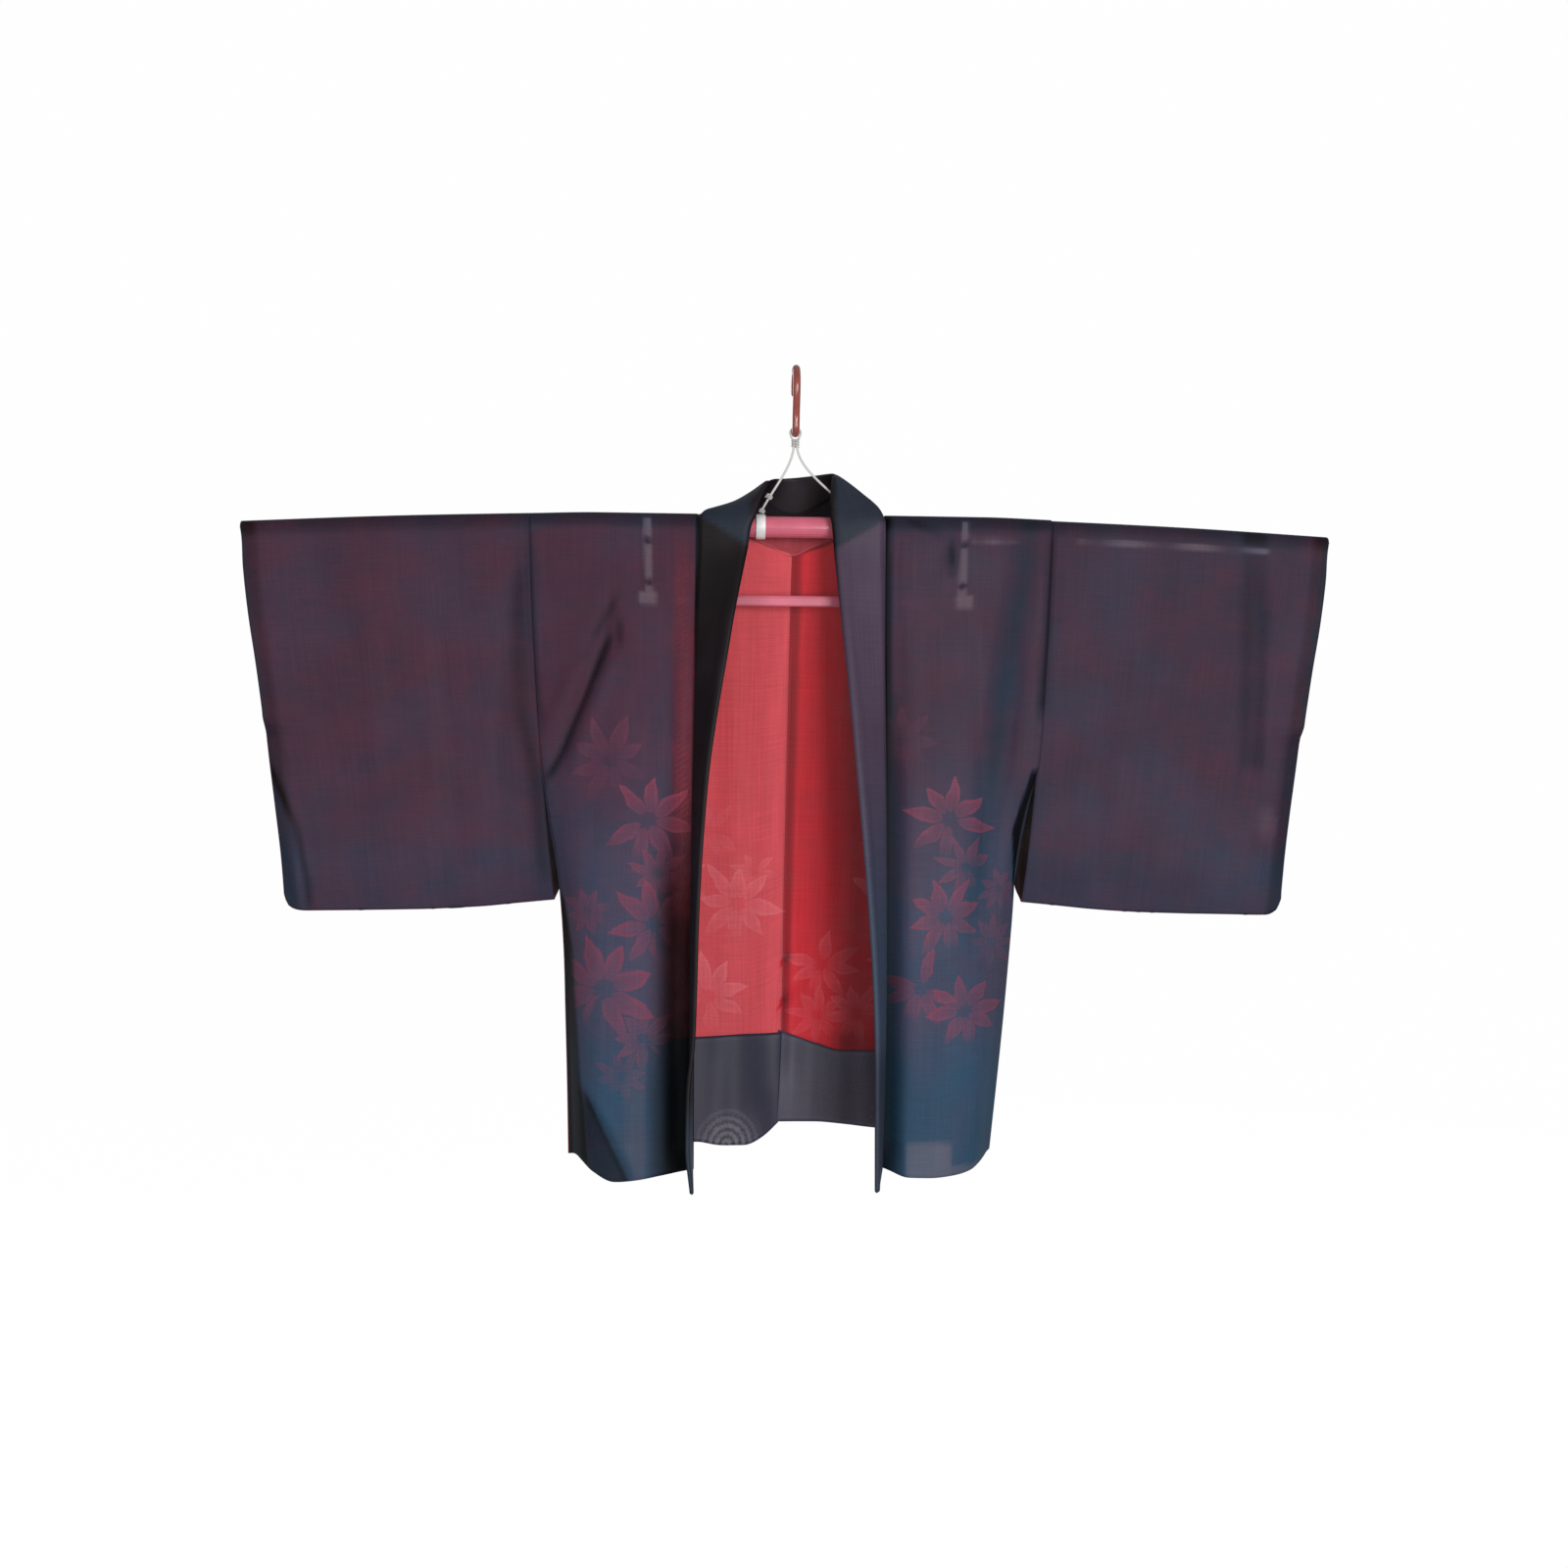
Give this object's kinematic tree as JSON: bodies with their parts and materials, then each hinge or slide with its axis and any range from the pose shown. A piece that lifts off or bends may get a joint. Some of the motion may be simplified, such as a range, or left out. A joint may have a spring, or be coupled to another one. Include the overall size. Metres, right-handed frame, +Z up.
{
  "type": "haori and hanger",
  "caption": "Sheer summer haori jacket with a shot dark outer face and red leaves, hung open on an extending rose bar hanger with a cord and hook.",
  "frame": {"origin": "the point inside the top of the hook's mouth where it rests on its rail", "axes": "+Z up against the hang, +X towards the wearer's left along the hanger's bar, -Y out of the jacket's open front"},
  "size_m": [1.3002, 0.1758, 0.9719],
  "materials": {
    "sheer_silk": "sheer open weave, dark outside and red inside",
    "facing_silk": "sheer open weave, dark face inwards",
    "rose_plastic": "glossy",
    "white_plastic": "satin",
    "stud_metal": "satin",
    "copper_plastic": "glossy",
    "white_cord": "braided"
  },
  "bodies": {
    "root": {"body_front_right": "sheer_silk", "body_back_right": "sheer_silk", "body_front_left": "sheer_silk", "body_back_left": "sheer_silk", "side_gusset_right": "sheer_silk", "side_gusset_left": "sheer_silk", "sleeve_right": "sheer_silk", "sleeve_left": "sheer_silk", "collar": "sheer_silk", "hem_facing_right": "facing_silk", "hem_facing_left": "facing_silk", "bar_tube": "rose_plastic", "bar_arm_right": "rose_plastic", "bar_arm_left": "rose_plastic", "lower_bar": "rose_plastic", "strap_right": "white_plastic", "strap_left": "white_plastic", "lower_bar_cap_right": "white_plastic", "lower_bar_cap_left": "white_plastic", "cord_clip_right": "white_plastic", "cord_clip_left": "white_plastic", "strap_snap_right_upper": "stud_metal", "strap_snap_right_lower": "stud_metal", "strap_snap_left_upper": "stud_metal", "strap_snap_left_lower": "stud_metal", "hook": "copper_plastic", "cord": "white_cord"}
  },
  "joints": []
}
